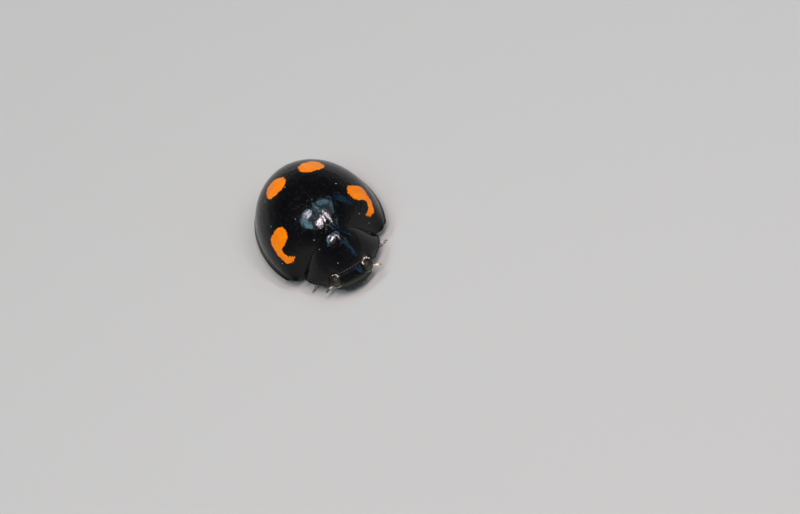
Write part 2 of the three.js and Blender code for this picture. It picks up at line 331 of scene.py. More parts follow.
def mottled(material, place, first, second, patch, detail):
    """A tint that drifts between two colours over patches of this size, and the drift itself."""
    drift = add_node(
        material, "ShaderNodeTexNoise", {}, {"Vector": place, "Scale": per_mm(patch), "Detail": detail}
    ).outputs["Fac"]
    tint = add_node(
        material, "ShaderNodeMix", {"data_type": "RGBA"},
        {"Factor": drift, "A": linear(first), "B": linear(second)},
    ).outputs["Result"]
    return tint, drift


def punctures(material, place, spacing, pits):
    """Height, in millimetres, of a surface pricked with fine round pits; half_width is in spacings."""
    cells = add_node(
        material, "ShaderNodeTexVoronoi", {"voronoi_dimensions": "3D"},
        {"Vector": place, "Scale": per_mm(spacing), "Randomness": 0.75},
    )
    return add_node(
        material, "ShaderNodeMapRange", {"interpolation_type": "SMOOTHSTEP"},
        {"Value": cells.outputs["Distance"], "From Min": 0.05, "From Max": pits["half_width"],
         "To Min": -pits["depth"], "To Max": 0.0},
    ).outputs["Result"]


def paled(material, tint, other):
    """Tint that goes over to another colour where the part is marked."""
    marked = add_node(material, "ShaderNodeAttribute", {"attribute_name": "other_colour"}).outputs["Fac"]
    return add_node(
        material, "ShaderNodeMix", {"data_type": "RGBA"},
        {"Factor": marked, "A": tint, "B": linear(other)},
    ).outputs["Result"]


def chitin(name, pit_spacing, roughness, spots=False, other=None):
    """Polished black chitin, hardened and pitted as it grew: deep gloss broken by fine pits."""
    material, shader = new_material(name, IOR=1.56, Specular_IOR_Level=0.18)
    place = add_node(material, "ShaderNodeTexCoord").outputs["Object"]
    tint, cloud = mottled(material, place, BLACK, WORN_BLACK, patch=0.5, detail=5.0)
    if spots:
        tint = spotted(material, place, tint)
    if other:
        tint = paled(material, tint, other)
    # Pale specks over the tint: partly dust, partly painted glints.
    fleck = dust_and_glint_flecks(material, place)
    tint = add_node(
        material, "ShaderNodeMix", {"data_type": "RGBA"},
        {"Factor": fleck, "A": tint, "B": linear(DUST_AND_GLINT)},
    ).outputs["Result"]
    link(material, tint, shader.inputs["Base Color"])
    rough = add_node(
        material, "ShaderNodeMapRange", {},
        {"Value": cloud, "To Min": roughness * 0.8, "To Max": roughness * 1.3},
    ).outputs["Result"]
    link(material, rough, shader.inputs["Roughness"])
    grain = add_node(
        material, "ShaderNodeTexNoise", {},
        {"Vector": place, "Scale": per_mm(GRAIN["spacing"]), "Detail": 3.0},
    ).outputs["Fac"]
    ripple = add_node(
        material, "ShaderNodeTexNoise", {},
        {"Vector": place, "Scale": per_mm(RIPPLE["spacing"]), "Detail": 2.0},
    ).outputs["Fac"]
    height = punctures(material, place, pit_spacing, SHELL_PITS)
    for layer, layer_height in ((grain, GRAIN["height"]), (ripple, RIPPLE["height"])):
        height = add_node(
            material, "ShaderNodeMath", {"operation": "MULTIPLY_ADD"},
            {0: layer, 1: layer_height, 2: height},
        ).outputs["Value"]
    bump = add_node(
        material, "ShaderNodeBump", {}, {"Height": height, "Distance": MM, "Strength": 0.8}
    ).outputs["Normal"]
    link(material, bump, shader.inputs["Normal"])
    return material


def dust_and_glint_flecks(material, place):
    """A few pale specks, each some two hundredths of a millimetre across: partly dust, partly painted
    glints of light in the pits.
    """
    cells = add_node(
        material, "ShaderNodeTexVoronoi", {"voronoi_dimensions": "3D"},
        {"Vector": place, "Scale": per_mm(SPECKS["spacing"]), "Randomness": 1.0},
    )
    near = add_node(
        material, "ShaderNodeMapRange", {},
        {"Value": cells.outputs["Distance"], "From Min": SPECKS["core"], "From Max": SPECKS["edge"],
         "To Min": 1.0, "To Max": 0.0},
    ).outputs["Result"]
    lot = add_node(
        material, "ShaderNodeSeparateColor", {}, {"Color": cells.outputs["Color"]}
    ).outputs["Red"]
    chosen = add_node(
        material, "ShaderNodeMath", {"operation": "GREATER_THAN"}, {0: lot, 1: SPECKS["bare_share"]}
    ).outputs["Value"]
    return add_node(
        material, "ShaderNodeMath", {"operation": "MULTIPLY"}, {0: near, 1: chosen}
    ).outputs["Value"]


def spotted(material, place, tint):
    """Orange pigment inside the spot outline, blotched with rust, its edge frayed from pit to pit."""
    outline = add_node(material, "ShaderNodeAttribute", {"attribute_name": "spot"}).outputs["Fac"]
    fray = add_node(
        material, "ShaderNodeTexNoise", {},
        {"Vector": place, "Scale": per_mm(FRAY["spacing"]), "Detail": 3.0},
    ).outputs["Fac"]
    edge = add_node(
        material, "ShaderNodeMath", {"operation": "MULTIPLY_ADD"},
        {0: fray, 1: FRAY["reach"], 2: outline},
    ).outputs["Value"]
    middle = FRAY["reach"] / 2
    inside = add_node(
        material, "ShaderNodeMapRange", {"interpolation_type": "SMOOTHSTEP"},
        {"Value": edge, "From Min": middle - FRAY["softness"], "From Max": middle + FRAY["softness"],
         "To Min": 1.0, "To Max": 0.0},
    ).outputs["Result"]
    orange, _ = mottled(material, place, SPOT_ORANGE, SPOT_RUST, patch=0.2, detail=4.0)
    return add_node(
        material, "ShaderNodeMix", {"data_type": "RGBA"}, {"Factor": inside, "A": tint, "B": orange}
    ).outputs["Result"]


def plain_chitin(name, colour, worn, roughness, pit_spacing=0.08, shine=0.35, other=None):
    """Thin chitin left unpolished, as on limbs, feelers, eyes, hairs and belly: a soft satin sheen."""
    material, shader = new_material(name, IOR=1.54, Specular_IOR_Level=shine)
    place = add_node(material, "ShaderNodeTexCoord").outputs["Object"]
    tint, cloud = mottled(material, place, colour, worn, patch=0.25, detail=5.0)
    if other:
        tint = paled(material, tint, other)
    link(material, tint, shader.inputs["Base Color"])
    rough = add_node(
        material, "ShaderNodeMapRange", {},
        {"Value": cloud, "To Min": roughness * 0.85, "To Max": roughness * 1.25},
    ).outputs["Result"]
    link(material, rough, shader.inputs["Roughness"])
    height = punctures(material, place, pit_spacing, SATIN_PITS)
    bump = add_node(
        material, "ShaderNodeBump", {}, {"Height": height, "Distance": MM, "Strength": 0.7}
    ).outputs["Normal"]
    link(material, bump, shader.inputs["Normal"])
    return material


# Wing cases and neck shield: thick chitin, hardened black. Wet-looking gloss with sharp reflections.
SHELL = chitin("polished_black_chitin_spotted", pit_spacing=0.07, roughness=0.11, spots=True)
PLATE = chitin("polished_black_chitin", pit_spacing=0.06, roughness=0.12)
# Face: the same chitin, pitted more closely. Softer reflections, and grey-green low on the face: a painted
# reflection of the ground below.
FACE = chitin("polished_face_chitin", pit_spacing=0.05, roughness=0.16, other="#23261C")
# Chest and belly: thinner, softer chitin. Brown-black in front and red-brown behind, with a dull sheen.
UNDER = plain_chitin("satin_brown_black_chitin", "#160E0B", "#24150E", roughness=0.34)
RUSTY = plain_chitin("satin_red_brown_chitin", "#3A1A0D", "#22110B", roughness=0.36)
# Thighs, shins and jaws: hard dark chitin. A satin sheen that follows each limb's round.
LIMB = plain_chitin("satin_leg_chitin", "#120C0A", "#2A1A12", roughness=0.3, pit_spacing=0.05)
# Feelers, palps and feet: chitin with little pigment. Pale amber with a dark tip, or brown.
AMBER = plain_chitin(
    "amber_feeler_chitin", "#C2B290", "#9C8464", roughness=0.3, pit_spacing=0.04, other="#140D0A"
)
AMBER_LIMB = plain_chitin("brown_foot_chitin", "#7E6250", "#4E3828", roughness=0.36, pit_spacing=0.04)
# Eyes: clear lenses over dark pigment. Near-black brown with little shine, greyer along the lower edge,
# where a reflection of the ground is painted in.
EYE_FACETS = plain_chitin(
    "faceted_eye_chitin", "#1B100C", "#0E0A09", roughness=0.4, pit_spacing=0.03, shine=0.08,
    other="#343A2F",
)
# The pale edge below each eye: a thin pale grey-green line, a painted highlight.
EYE_EDGE_HIGHLIGHT = plain_chitin("pale_eye_edge_painted_highlight", "#8B9380", "#5A6152", roughness=0.3, pit_spacing=0.03)
# Hairs: dry, hollow chitin. Cream dots over the eyes and under the feet, grey ones on the neck shield.
BRISTLE = plain_chitin("pale_golden_bristle", "#DAD0BC", "#A6987C", roughness=0.4, pit_spacing=0.03)
GREY_BRISTLE = plain_chitin("grey_brown_bristle", "#4C4846", "#2C2826", roughness=0.4, pit_spacing=0.03)
# The shelf over the mouth: dark chitin with hardly any gloss, its grey-brown tone a painted reflection of
# the ground.
SHELF_PAINTED_REFLECTION = plain_chitin(
    "grey_brown_shelf_painted_reflection", "#1C1C17", "#12110E", roughness=0.42, pit_spacing=0.05, shine=0.2
)


# ---- The wing cases ----
QUARTER_ROUND = 2.82  # from seam to rim over the dome's widest part
# Centres and half sizes are the distance from the seam, measured round the dome, and y.
HIND_SPOT = dict(centre=(0.71, 1.2), half_across=0.43, half_along=0.29, inner_loss=0.09, square=2.8)
SHOULDER_SPOT = dict(centre=(1.5, -0.19), half_across=0.36, half_along=0.24, square=2.5)
# The tail of the comma: the same two distances, and the tail's half width there.
COMMA_TAIL = [(1.68, -0.16, 0.2), (1.79, -0.42, 0.13), (1.75, -0.63, 0.1), (1.59, -0.74, 0.055),
              (1.4, -0.785, 0.0)]


def spot_outline(turn, y):
    """Signed distance, in millimetres, from a point on the dome to the nearest spot's edge."""
    sideways = turn * QUARTER_ROUND
    narrower = HIND_SPOT["inner_loss"] * smooth_step(0.62, 0.2, sideways)
    hind = rounded_patch(sideways, y, HIND_SPOT, narrower)
    blob = rounded_patch(sideways, y, SHOULDER_SPOT, 0)
    tail = hooked_band(sideways, y, COMMA_TAIL)
    comma = smooth_least(blob, tail, 0.05)
    return np.minimum(hind, comma)


def rounded_patch(u, v, spot, narrower):
    """Distance to a spot's edge, for a shape between an oval and a rectangle."""
    half_along = spot["half_along"] - narrower
    across = np.abs((u - spot["centre"][0]) / spot["half_across"]) ** spot["square"]
    along = np.abs((v - spot["centre"][1]) / half_along) ** spot["square"]
    return ((across + along) ** (1 / spot["square"]) - 1) * half_along


def hooked_band(u, v, route):
    """Distance to a band along a bent route of places and half widths."""
    best = np.full(u.shape, 9.0)
    for start, end in zip(route, route[1:]):
        du, dv = end[0] - start[0], end[1] - start[1]
        t = np.clip(((u - start[0]) * du + (v - start[1]) * dv) / (du * du + dv * dv), 0, 1)
        half_width = start[2] + (end[2] - start[2]) * t
        away = np.hypot(u - start[0] - t * du, v - start[1] - t * dv) - half_width
        best = smooth_least(best, away, 0.03)
    return best


def smooth_least(a, b, blend):
    """The lesser of two distances, rounded where they are within blend of each other."""
    h = np.clip(0.5 + 0.5 * (b - a) / blend, 0, 1)
    return b + (a - b) * h - blend * h * (1 - h)


def edge_bead(turn, groove_turn):
    """Height of the bead along a plate's side rim, less the groove just inside it."""
    bead = EDGE["bead"] * ridge(turn, EDGE["bead_turn"], EDGE["bead_width"])
    return bead - EDGE["groove"] * ridge(turn, groove_turn, EDGE["groove_width"])


def tucked_in(inner, outer, turn, drop):
    """The inside of a plate, kept below its outside, and lower where the side rim turns in."""
    inner[..., 2] = np.minimum(inner[..., 2], outer[..., 2] - 0.01)
    inner[..., 2] -= drop * smooth_step(0.95, 1.0, turn)
    return inner


def wing_case(side, side_name):
    """One wing case: a domed plate with a beaded rim and a flat edge turned in beneath it.

    The scutellum's corner is cut out of its seam, and a low hump stands at its shoulder.
    """
    across = 1 - (1 - np.linspace(0, 1, 130)) ** 1.25
    run, turn = np.meshgrid(np.linspace(0, 0.996, 210), across, indexing="ij")
    polar = math.acos((BASE["y"] - DOME["centre_y"]) / DOME["front"]) * (1 - run)
    y_mid = DOME["centre_y"] + np.where(run > 0.5, DOME["rear"], DOME["front"]) * np.cos(polar)
    slot = SCUTELLUM["half_width"] * np.clip(1 - (y_mid - BASE["y"]) / SCUTELLUM["length"], 0, 1)
    seam = (SEAM / 2 + slot + np.where(slot > 0, SEAM / 2, 0)) / (DOME["half_width"] * np.sin(polar))
    seam_turn = np.arcsin(np.minimum(0.7, seam)) * 2 / np.pi
    turned = seam_turn + (1 - seam_turn) * turn
    rolled = 0.005 * (1 - smooth_step(0, 0.012, turn)) + 0.012 * (1 - smooth_step(0, 0.012, run))
    shoulder_hump = 0.05 * ridge(turned, 0.62, 0.13) * ridge(run, 0.1, 0.07)
    outer = dome_point(side * turned, run, raised=shoulder_hump + edge_bead(turned, 0.93) - rolled)
    fold = 0.3 * (1 - 0.55 * run) * smooth_step(0.94, 0.995, turned)
    inner = dome_point(side * turned, run, inset=SHELL_THICKNESS + fold)
    points, faces = shell_between(outer, tucked_in(inner, outer, turned, 0.03))
    turns = np.concatenate([turned.ravel(), turned.ravel()])
    marks = {"spot": spot_outline(turns, points[:, 1])}
    make_piece(f"wing_case_{side_name}", points, faces, SHELL,
               [f"elytron_{side_name}"], marks=marks)


def scutellum_plate():
    """The small black triangle at the head of the seam, a hair lower than the wing cases."""
    run, turn = np.meshgrid(np.linspace(0, 1, 24), np.linspace(-1, 1, 25), indexing="ij")
    width = SCUTELLUM["half_width"] * (1 - run) + 0.004
    x = turn * width
    y = BASE["y"] + 0.004 + SCUTELLUM["length"] * run
    near_turn = np.arcsin(x / base_section()[0]) * 2 / np.pi
    top = DOME["rim_z"] + (dome_z(x, y) - DOME["rim_z"]) * shoulder_share(near_turn, y)
    rounded = 0.012 * np.abs(turn) ** 6
    outer = np.stack([x, y, top - 0.004 - rounded], -1)
    points, faces = shell_between(outer, outer - SHELL_THICKNESS * UP)
    make_piece("scutellum_plate", points, faces, PLATE, ["scutellum"])


def pronotum_plate():
    """The arched neck shield: beaded sides, and a front margin drawn back over each eye."""
    run, turn = np.meshgrid(np.linspace(0, 1, 110), np.linspace(-1, 1, 201), indexing="ij")
    turned = np.abs(turn)
    rolled = 0.008 * (1 - smooth_step(0, 0.02, run)) + 0.018 * smooth_step(0.975, 1, run)
    front_line = 0.005 * ridge(run, 0.955, 0.012)
    outer = arch_point(turn, run, raised=edge_bead(turned, 0.95) - front_line - rolled)
    fold = 0.24 * smooth_step(0.92, 0.99, turned)
    inner = arch_point(turn, run, inset=0.07 + fold)
    points, faces = shell_between(outer, tucked_in(inner, outer, turned, 0.02))
    make_piece("pronotum_plate", points, faces, PLATE, ["pronotum"])


# ---- Pieces of the head ----
FACE_SHELF = dict(root_y=-1.85, edge_y=-2.25, half_width=0.56, top_z=0.72, thickness=0.035)
# A real eye has lenses some 0.015 across, too fine to show. These are drawn some 0.035 across.
LENSES = dict(count=420, rise=0.012)
# The pale edge, a painted highlight, runs round the eye from one angle to another, in radians from its
# outer corner.
EYE_RIM = dict(half_width=0.183, half_height=0.197, outwards=0.09, radius=0.011, start=0.35, end=2.5)
# Feeler and palp of the left side: the bend they follow, and the greatest radius of each joint.
ANTENNA_BEND = [(0.38, -1.94, 0.58), (0.66, -1.92, 0.56), (0.89, -1.97, 0.5)]
ANTENNA_RADII = [0.04, 0.03, 0.022, 0.02, 0.021, 0.026, 0.034, 0.036, 0.028]
PALP_JOINTS = [(0.15, -1.9, 0.38), (0.21, -1.96, 0.35), (0.26, -1.99, 0.33), (0.29, -2.0, 0.31)]
PALP_RADII = [0.036, 0.04, 0.036]
PALP_TIP = (0.34, -2.01, 0.25)


def headed(points, side=1):
    """Points of the head, set on the left, moved to their side and turned with the head."""
    points = np.array(points, float) * [side, 1, 1]
    c, s = math.cos(HEAD_TURN), math.sin(HEAD_TURN)
    x, y = points[..., 0], points[..., 1] - HEAD_PIVOT_Y
    return np.stack([c * x - s * y, s * x + c * y + HEAD_PIVOT_Y, points[..., 2]], -1)


def head_shape(directions):
    """How far the face stands out: hollowed under its shelf and round each eye."""
    x, y, z = directions.T
    facing = smooth_step(0.0, -0.5, y)
    under = -0.12 * smooth_step(-0.45, -0.7, z) * facing
    brow = -0.015 * ridge(np.abs(x), 0.42, 0.1) * facing
    middle = -0.03 * ridge(x, 0, 0.2) * ridge(z, -0.25, 0.3) * facing
    socket = -0.13 * smooth_step(0.45, 0.78, np.abs(x)) * facing
    return 1 + under + brow + middle + socket


def face_shelf():
    """The thin shelf that juts out over the mouth and hides the roots of the feelers."""
    out, across = np.meshgrid(np.linspace(0, 1, 16), np.linspace(-1, 1, 81), indexing="ij")
    wide = np.abs(across)
    edge_y = FACE_SHELF["edge_y"] + 0.24 * wide**1.6 + 0.14 * smooth_step(0.86, 1.0, wide)
    edge_y = edge_y + 0.035 * ridge(across, 0, 0.28)
    x = across * (FACE_SHELF["half_width"] + 0.07 * out)
    y = FACE_SHELF["root_y"] + (edge_y - FACE_SHELF["root_y"]) * out
    z = FACE_SHELF["top_z"] - 0.17 * out**3 - 0.05 * (1 - wide**2) * out
    upper = np.stack([x, y, z + 0.014 * ridge(out, 0.95, 0.05)], -1)
    lower = np.stack([x, y, z - FACE_SHELF["thickness"] + 0.012 * out], -1)
    return shell_between(upper, lower)


def head_capsule():
    """The head's round body, tilted to face forwards and down, with the shelf across its face."""
    points, faces = ball((0, 0, 0), (1, 1, 1), 180, 110)
    unit_points = points.copy()
    points *= head_shape(unit_points)[:, None] * [HEAD["half_width"], HEAD["front"], HEAD["up"]]
    points[:, 1] *= np.where(unit_points[:, 1] > 0, HEAD["rear"] / HEAD["front"], 1)
    points[:, 2] *= np.where(unit_points[:, 2] < 0, HEAD["down"] / HEAD["up"], 1)
    c, s = math.cos(FACE_TILT), math.sin(FACE_TILT)
    x, y, z = points.T
    capsule = np.stack([x, c * y - s * z, s * y + c * z], -1) + HEAD["centre"]
    # Low on the face the tint goes grey-green: a painted reflection of the ground.
    painted_face_reflection = smooth_step(0.0, -0.5, unit_points[:, 2]) * smooth_step(0.0, -0.5, unit_points[:, 1])
    make_piece("head_capsule", headed(capsule), faces, FACE, ["head"],
               marks={"other_colour": painted_face_reflection})
    points, faces = face_shelf()
    # The shelf's grey-brown tone is a painted reflection.
    make_piece("face_shelf", headed(points), faces, SHELF_PAINTED_REFLECTION, ["head"])


def eye(side, side_name):
    """A compound eye of low domed lenses, evenly spread on it, greyer low down with a painted reflection,
    and the pale edge below it, a painted highlight.
    """
    order = np.arange(LENSES["count"]) + 0.5
    polar = np.arccos(1 - 2 * order / LENSES["count"])
    swirl = np.pi * (1 + 5**0.5) * order
    lenses = np.stack([np.cos(swirl) * np.sin(polar), np.sin(swirl) * np.sin(polar), np.cos(polar)], 1)
    spacing = math.sqrt(4 * math.pi / LENSES["count"])

    def domed(directions):
        nearest = np.sqrt(np.maximum(0, 2 - 2 * (directions @ lenses.T).max(1)))
        return 1 + LENSES["rise"] * (1 - (nearest / (0.62 * spacing)) ** 2)

    centre = np.array(EYE["centre"])
    points, faces = ball(centre, EYE["radii"], 150, 100, domed)
    down_face = np.array([0, math.sin(FACE_TILT), -math.cos(FACE_TILT)])
    # The eye's lower part turns grey-green: a painted reflection of the ground below.
    painted_eye_reflection = smooth_step(-0.08, 0.16, (points - centre) @ down_face)
    painted_eye_reflection = painted_eye_reflection * smooth_step(-0.16, 0.02, points[:, 0] - centre[0])
    make_piece(f"compound_eye_{side_name}", headed(points, side), faces,
               EYE_FACETS, [f"eye_{side_name}"], sharp=60, marks={"other_colour": painted_eye_reflection})
    # The pale edge below the eye is a painted highlight.
    turn = np.linspace(EYE_RIM["start"], EYE_RIM["end"], 40)[:, None]
    out_of_face = np.array([0, -math.cos(FACE_TILT), -math.sin(FACE_TILT)])
    edge = centre + EYE_RIM["outwards"] * out_of_face
    edge = edge + np.cos(turn) * (EYE_RIM["half_width"], 0, 0)
    edge = edge + np.sin(turn) * EYE_RIM["half_height"] * down_face
    thick = EYE_RIM["radius"] * np.sin(np.linspace(0.2, 2.9, 40))
    points, faces = tube_along(headed(edge, side), thick, thick, -out_of_face, 12)
    make_piece(f"eye_edge_{side_name}", points, faces, EYE_EDGE_HIGHLIGHT, [f"eye_{side_name}"])


def beaded(route, radii, flat=1.0):
    """A jointed feeler: barrel segments pinched where they join, between points of a route."""
    parts = []
    for start, end, radius in zip(route, route[1:], radii):
        t = np.linspace(0, 1, 10)
        swell = radius * (0.45 + 0.55 * np.sin(np.pi * np.clip(t * 0.86 + 0.1, 0, 1)) ** 0.6)
        parts.append(tube_along(between(start, end, t), swell, swell * flat, UP, 14))
    return joined(parts)


def route_through(points, count):
    """Points at even steps of a smooth quadratic bend through three points."""
    first, middle, last = (np.array(p, float) for p in points)
    bend = 2 * middle - (first + last) / 2
    t = np.linspace(0, 1, count)[:, None]
    return (1 - t) ** 2 * first + 2 * t * (1 - t) * bend + t**2 * last


def antenna(side, side_name):
    """A feeler of nine joints that ends in a dark club."""
    route = route_through(ANTENNA_BEND, len(ANTENNA_RADII) + 1)
    points, faces = beaded(headed(route, side), ANTENNA_RADII)
    marks = {"other_colour": smooth_step(0.74, 0.84, np.abs(points[:, 0]))}
    make_piece(f"jointed_antenna_{side_name}", points, faces, AMBER,
               [f"antenna_{side_name}"], marks=marks)


def palp(side, side_name):
    """Jaw feeler of four joints, the last one broad and cut off slantwise like a hatchet."""
    route = headed(PALP_JOINTS, side)
    stalk = beaded(route, PALP_RADII)
    t = np.linspace(0, 1, 12)
    centres = between(route[-1], headed(PALP_TIP, side), t)
    broad = 0.035 + 0.055 * smooth_step(0, 0.8, t) - 0.02 * smooth_step(0.9, 1, t)
    thick = 0.035 - 0.012 * smooth_step(0.6, 1, t)
    blade = tube_along(centres, broad, thick, np.array([0, 1, 0.4]), 18)
    points, faces = joined([stalk, blade])
    marks = {"other_colour": np.full(len(points), 0.85)}
    make_piece(f"hatchet_palp_{side_name}", points, faces, AMBER,
               [f"palp_{side_name}"], marks=marks)


def mouthparts():
    """Upper lip, two jaws and chin, tucked in below the face's shelf."""
    lip = ball((0, -2.1, 0.47), (0.2, 0.09, 0.07), 40, 24)
    jaws = [ball((0.09 * side, -2.08, 0.41), (0.12, 0.09, 0.06), 32, 20) for side in SIDES.values()]
    chin = ball((0, -1.95, 0.38), (0.2, 0.15, 0.07), 40, 24)
    points, faces = joined([lip, *jaws, chin])
    make_piece("lip_and_jaws", headed(points), faces, LIMB, ["mouthparts"])


# ---- Legs ----
# Hip, knee, ankle and toe of the left legs. The right legs mirror them, but for the fore leg.
STANCE = dict(
    front=[(0.26, -1.24, 0.44), (0.84, -1.62, 0.36), (1.12, -1.22, 0.15), (1.42, -1.14, 0.05)],
    middle=[(0.36, -0.42, 0.44), (1.14, -0.64, 0.36), (1.44, -0.14, 0.15), (1.66, 0.2, 0.05)],
    hind=[(0.38, 0.26, 0.44), (1.1, 0.66, 0.36), (1.12, 1.22, 0.15), (1.22, 1.58, 0.05)],
)
RIGHT_FORE = [(0.26, -1.24, 0.44), (0.84, -1.62, 0.36), (0.95, -1.26, 0.15), (1.18, -1.38, 0.05)]
HIP_RADII = (0.15, 0.13, 0.11)
THIGH = dict(wide=0.13, thick=0.085, arch=0.03)
SHIN = dict(at_knee=0.04, gain=0.035, end_loss=0.03, flatness=0.7, arch=0.02)
SPUR = dict(length=0.06, drop=0.02, apart=0.03, radius=0.009)
# Where the foot's joints end, as shares of the way from ankle to toe, how far above the sole's middle
# line they lie, and their greatest radii.
FOOT_JOINTS = np.array([0.3, 0.55, 0.66, 0.92])
FOOT_RISE = np.array([0.02, 0, 0, 0.01])
FOOT_RADII = [0.04, 0.045, 0.028]
SOLE_Z = 0.045
CLAW = dict(stalk=0.03, length=0.07, spread=0.035, hook=0.045, radius=0.012)


def standing_legs():
    """Each leg's pair and side, with its hip, knee, ankle and toe where it stands."""
    for pair, joints in STANCE.items():
        for side_name, side in SIDES.items():
            placed = RIGHT_FORE if pair == "front" and side < 0 else joints
            yield pair, side_name, np.array(placed) * [side, 1, 1]


def femur(name, hip, knee, nodes):
    """Hip ball and a flattened thigh, swollen in its middle."""
    t = np.linspace(0, 1, 26)
    centres = between(hip, knee, t)
    centres[:, 2] += THIGH["arch"] * np.sin(np.pi * t)
    swell = np.sin(np.pi * np.clip(t * 0.9 + 0.06, 0, 1)) ** 0.55
    thigh = tube_along(centres, THIGH["wide"] * swell + 0.02, THIGH["thick"] * swell + 0.015, UP, 24)
    hip_ball = ball(hip, HIP_RADII, 28, 18)
    points, faces = joined([thigh, hip_ball])
    make_piece(name, points, faces, LIMB, nodes)


def tibia(name, knee, ankle, nodes):
    """Shin: slender at the knee, widening to a blunt end with two short spurs."""
    t = np.linspace(0, 1, 24)
    centres = between(knee, ankle, t)
    centres[:, 2] += SHIN["arch"] * np.sin(np.pi * t)
    wide = SHIN["at_knee"] + SHIN["gain"] * smooth_step(0.0, 0.7, t)
    wide = wide - SHIN["end_loss"] * smooth_step(0.93, 1, t)
    shin = tube_along(centres, wide, wide * SHIN["flatness"], UP, 18)
    along = unit(ankle - knee)
    spur_way = along * SPUR["length"] - SPUR["drop"] * UP
    s = np.linspace(0, 1, 5)
    thin = SPUR["radius"] * (1 - 0.8 * s)
    spurs = []
    for offset in (-SPUR["apart"], SPUR["apart"]):
        root = ankle - 0.02 * along + offset * unit(np.cross(along, UP))
        spurs.append(tube_along(root + np.outer(s, spur_way), thin, thin, UP, 6))
    points, faces = joined([shin, *spurs])
    make_piece(name, points, faces, LIMB, nodes)


def tarsus(name, ankle, toe, nodes):
    """Foot: two padded joints, a small third, a slim claw joint and two hooked claws."""
    joints = between(ankle, toe, FOOT_JOINTS)
    joints[:, 2] = SOLE_Z + FOOT_RISE
    claw_root = joints[3]
    pads = beaded([ankle, *joints[:3]], FOOT_RADII, flat=0.85)
    stalk = beaded([joints[2] - 0.004 * UP, claw_root], [CLAW["stalk"]])
    forward = unit(toe - ankle)
    sideways = unit(np.cross(forward, UP))
    s = np.linspace(0, 1, 8)
    thin = CLAW["radius"] * (1 - 0.85 * s)
    claws = []
    for way in (-1, 1):
        outward = forward * CLAW["length"] + sideways * way * CLAW["spread"]
        path = claw_root + np.outer(s, outward) - np.outer(s**2, CLAW["hook"] * UP)
        claws.append(tube_along(path, thin, thin, UP, 8))
    points, faces = joined([pads, stalk, *claws])
    points[:, 2] = np.maximum(points[:, 2], 0.0)
    make_piece(name, points, faces, AMBER_LIMB, nodes)


def legs():
    """Six legs, each of a thigh, a shin and a foot."""
    for pair, side_name, (hip, knee, ankle, toe) in standing_legs():
        tag = f"{pair}_{side_name}"
        femur(f"thigh_{tag}", hip, knee, [f"{pair}_femur_{side_name}"])
        tibia(f"shin_{tag}", knee, ankle, [f"{pair}_tibia_{side_name}"])
        tarsus(f"foot_{tag}", ankle, toe, [f"{pair}_tarsus_{side_name}"])


# ---- Underside ----
BELLY_SIDE_GAP = 0.32
BELLY_HIND_GAP = 0.2
# Along y: the two plates of the chest, and where each ring of the belly starts.
CHEST_FRONT = (-1.02, -0.55)
CHEST_HIND = (-0.5, 0.3)
RING_EDGES = [0.36, 0.78, 1.08, 1.34, 1.56, 1.75, 1.93]
RING_LAP = 0.03
WAIST_RUN = 0.43
WAIST_GAP = 0.004


def belly_half_width(y):
    """Half width of the underside, a little inside the wing cases' rim."""
    rear = DOME["rear"] - BELLY_HIND_GAP
    along = (y - DOME["centre_y"]) / np.where(y > DOME["centre_y"], rear, DOME["front"])
    return (DOME["half_width"] - BELLY_SIDE_GAP) * np.sqrt(np.maximum(0.01, 1 - along**2))


def belly_z(across, y):
    """Height of the underside: lowest in its middle, and rising to its sides and both ends."""
    return BELLY_Z + 0.05 * across**2 - 0.03 * np.sin(np.clip((y + 1.1) / 3.1, 0, 1) * np.pi)


def belly_plate(y_front, y_hind, bow, step=0.0, middle=0.0):
    """One plate of the underside: step drops its hind edge, and middle is the depth of its mid groove."""
    v, u = np.meshgrid(np.linspace(0, 1, 14), np.linspace(-1, 1, 61), indexing="ij")
    y = y_front + (y_hind - y_front) * v + bow * (1 - u**2) * (0.4 + 0.6 * v)
    z = belly_z(u, y) - step * v - 0.012 * np.sin(np.pi * v)
    z = z + 0.02 * smooth_step(0.9, 1, v) + 0.015 * smooth_step(0.1, 0, v)
    z = z + middle * ridge(u, 0, 0.03)
    lower = np.stack([u * belly_half_width(y), y, z], -1)
    return shell_between(lower + 0.1 * UP, lower)


def body_core(run_from, run_to):
    """The dark body that fills the room under the wing cases."""
    runs, turns = np.linspace(run_from, run_to, 40), np.linspace(-0.93, 0.93, 61)
    run, turn = np.meshgrid(runs, turns, indexing="ij")
    top = dome_point(turn, run, inset=0.16)
    bottom = top.copy()
    bottom[..., 2] = BELLY_Z + 0.05
    top[..., 2] = np.maximum(top[..., 2], BELLY_Z + 0.08)
    return shell_between(top, bottom)


def seam_ridge(run_from, run_to):
    """The dark ridge that closes the seam from below."""
    run, across = np.meshgrid(np.linspace(run_from, run_to, 60), np.linspace(-1, 1, 3), indexing="ij")
    top = dome_point(np.zeros(run.shape), run, inset=0.012) + across[..., None] * [0.03, 0, 0]
    return shell_between(top, top - 0.05 * UP)


def chest():
    """The dark body as far back as its waist, with the chest's two plates below."""
    points, faces = joined([
        body_core(0.004, WAIST_RUN),
        seam_ridge(0.15, WAIST_RUN),
        belly_plate(*CHEST_FRONT, bow=0.0),
        belly_plate(*CHEST_HIND, bow=0.1, middle=0.012),
    ])
    make_piece("chest_plates", points, faces, UNDER, ["thorax"])


def belly():
    """The body behind the waist, with rings below that each lap over the next one's front edge."""
    start = WAIST_RUN + WAIST_GAP
    parts = [body_core(start, 0.95), seam_ridge(start, 0.97)]
    for front, hind in zip(RING_EDGES, RING_EDGES[1:]):
        parts.append(belly_plate(front, hind + RING_LAP, bow=0.06, step=0.02))
    points, faces = joined(parts)
    make_piece("belly_rings", points, faces, RUSTY, ["abdomen"])


